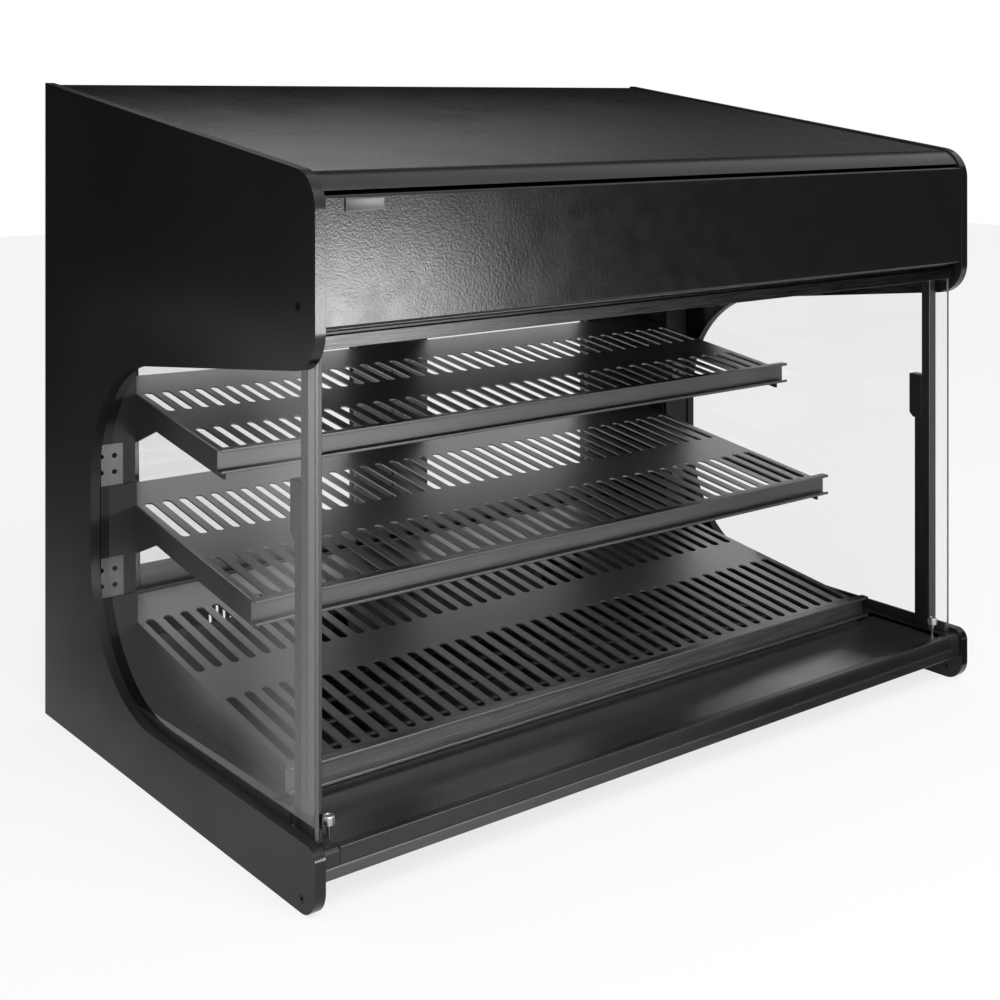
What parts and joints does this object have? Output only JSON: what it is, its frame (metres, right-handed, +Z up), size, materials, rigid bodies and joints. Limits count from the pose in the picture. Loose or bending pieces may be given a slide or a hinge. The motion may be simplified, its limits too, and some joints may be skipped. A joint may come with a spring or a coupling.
{
  "type": "heated display case",
  "caption": "Counter-top self-serve heated display case with glazed sides, sloping slotted shelves, a hot-air deck, a lit hood and hinged rear doors.",
  "frame": {"origin": "on the table under the middle of the case's bounding box", "axes": "+X along the width, to the right seen from the customer's side; +Y to the back; +Z up"},
  "size_m": [1, 0.64, 0.785],
  "materials": {
    "case_paint": "satin black powder coat",
    "gloss_paint": "gloss black enamel",
    "shelf_steel": "bright rolled stainless sheet",
    "aluminium": "satin anodised extrusion",
    "dark_steel": "unlit folded stainless",
    "bright_metal": "polished",
    "blackened_steel": "black oxide",
    "clear_glass": "toughened float glass",
    "seal_rubber": "matt silicone",
    "black_plastic": "fine grain moulding",
    "diffuser": "opal extrusion",
    "heater_sheath": "oxidised alloy sheath"
  },
  "bodies": {
    "case": {"roof_panel": "case_paint", "fascia_panel": "gloss_paint", "badge_plate": "aluminium", "hood_ceiling": "dark_steel", "lamp_channel": "aluminium", "lamp_diffuser": "diffuser", "lamp_strip": "diffuser", "rear_header": "case_paint", "glass_seals": "seal_rubber", "catch_blocks": "black_plastic", "retaining_pins": "bright_metal", "base_pan": "case_paint", "base_side_covers": "case_paint", "base_front_rail": "aluminium", "base_front_plate": "case_paint", "rail_end_blocks": "black_plastic", "front_ledge": "gloss_paint", "sill_rail": "case_paint", "slotted_uprights": "dark_steel", "deck_brackets": "case_paint", "shelf_top": "shelf_steel", "shelf_middle": "shelf_steel", "deck": "shelf_steel", "brackets_top": "case_paint", "brackets_middle": "case_paint", "heater_element": "heater_sheath", "heater_supports": "dark_steel", "fan_panel": "dark_steel", "fan_frames": "black_plastic", "control_panel": "case_paint", "thermostat_body": "black_plastic", "switch_housings": "black_plastic", "cable_gland": "black_plastic", "door_pivots": "bright_metal", "ticket_rail_top": "aluminium", "ticket_rail_middle": "aluminium", "ticket_rail_deck": "aluminium", "side_panel_left": "case_paint", "side_panel_right": "case_paint", "side_glass_left": "clear_glass", "side_glass_right": "clear_glass", "front_post_left": "aluminium", "front_post_right": "aluminium", "post_covers": "case_paint", "rear_columns": "case_paint", "panel_screws": "blackened_steel"},
    "door_left": {"door_left_stiles": "case_paint", "door_left_rails": "aluminium", "door_left_glass": "clear_glass", "door_left_handle": "aluminium"},
    "door_right": {"door_right_stiles": "case_paint", "door_right_rails": "aluminium", "door_right_glass": "clear_glass", "door_right_handle": "aluminium"},
    "thermostat_knob": {"thermostat_knob": "black_plastic"},
    "power_switch": {"power_rocker": "black_plastic"},
    "lamp_switch": {"lamp_rocker": "black_plastic"},
    "fan_left": {"fan_rotor_left": "black_plastic"},
    "fan_right": {"fan_rotor_right": "black_plastic"}
  },
  "joints": [
    {"name": "door_left_hinge", "type": "hinge", "parent": "case", "child": "door_left", "pos_m": [-0.427, 0.304, 0.333], "axis": [0, 0, 1], "range_deg": [0, 105]},
    {"name": "door_right_hinge", "type": "hinge", "parent": "case", "child": "door_right", "pos_m": [0.427, 0.304, 0.333], "axis": [0, 0, -1], "range_deg": [0, 105]},
    {"name": "thermostat_turn", "type": "hinge", "parent": "case", "child": "thermostat_knob", "pos_m": [0.34, 0.311, 0.086], "axis": [0, -1, 0], "range_deg": [0, 270]},
    {"name": "power_switch_rock", "type": "hinge", "parent": "case", "child": "power_switch", "pos_m": [0.23, 0.3015, 0.086], "axis": [-1, 0, 0], "range_deg": [0, 18]},
    {"name": "lamp_switch_rock", "type": "hinge", "parent": "case", "child": "lamp_switch", "pos_m": [0.262, 0.3015, 0.086], "axis": [-1, 0, 0], "range_deg": [0, 18]},
    {"name": "fan_left_spin", "type": "hinge", "parent": "case", "child": "fan_left", "pos_m": [-0.2, 0.166, 0.081], "axis": [0, 1, 0], "continuous": true},
    {"name": "fan_right_spin", "type": "hinge", "parent": "case", "child": "fan_right", "pos_m": [0.2, 0.166, 0.081], "axis": [0, 1, 0], "continuous": true}
  ]
}
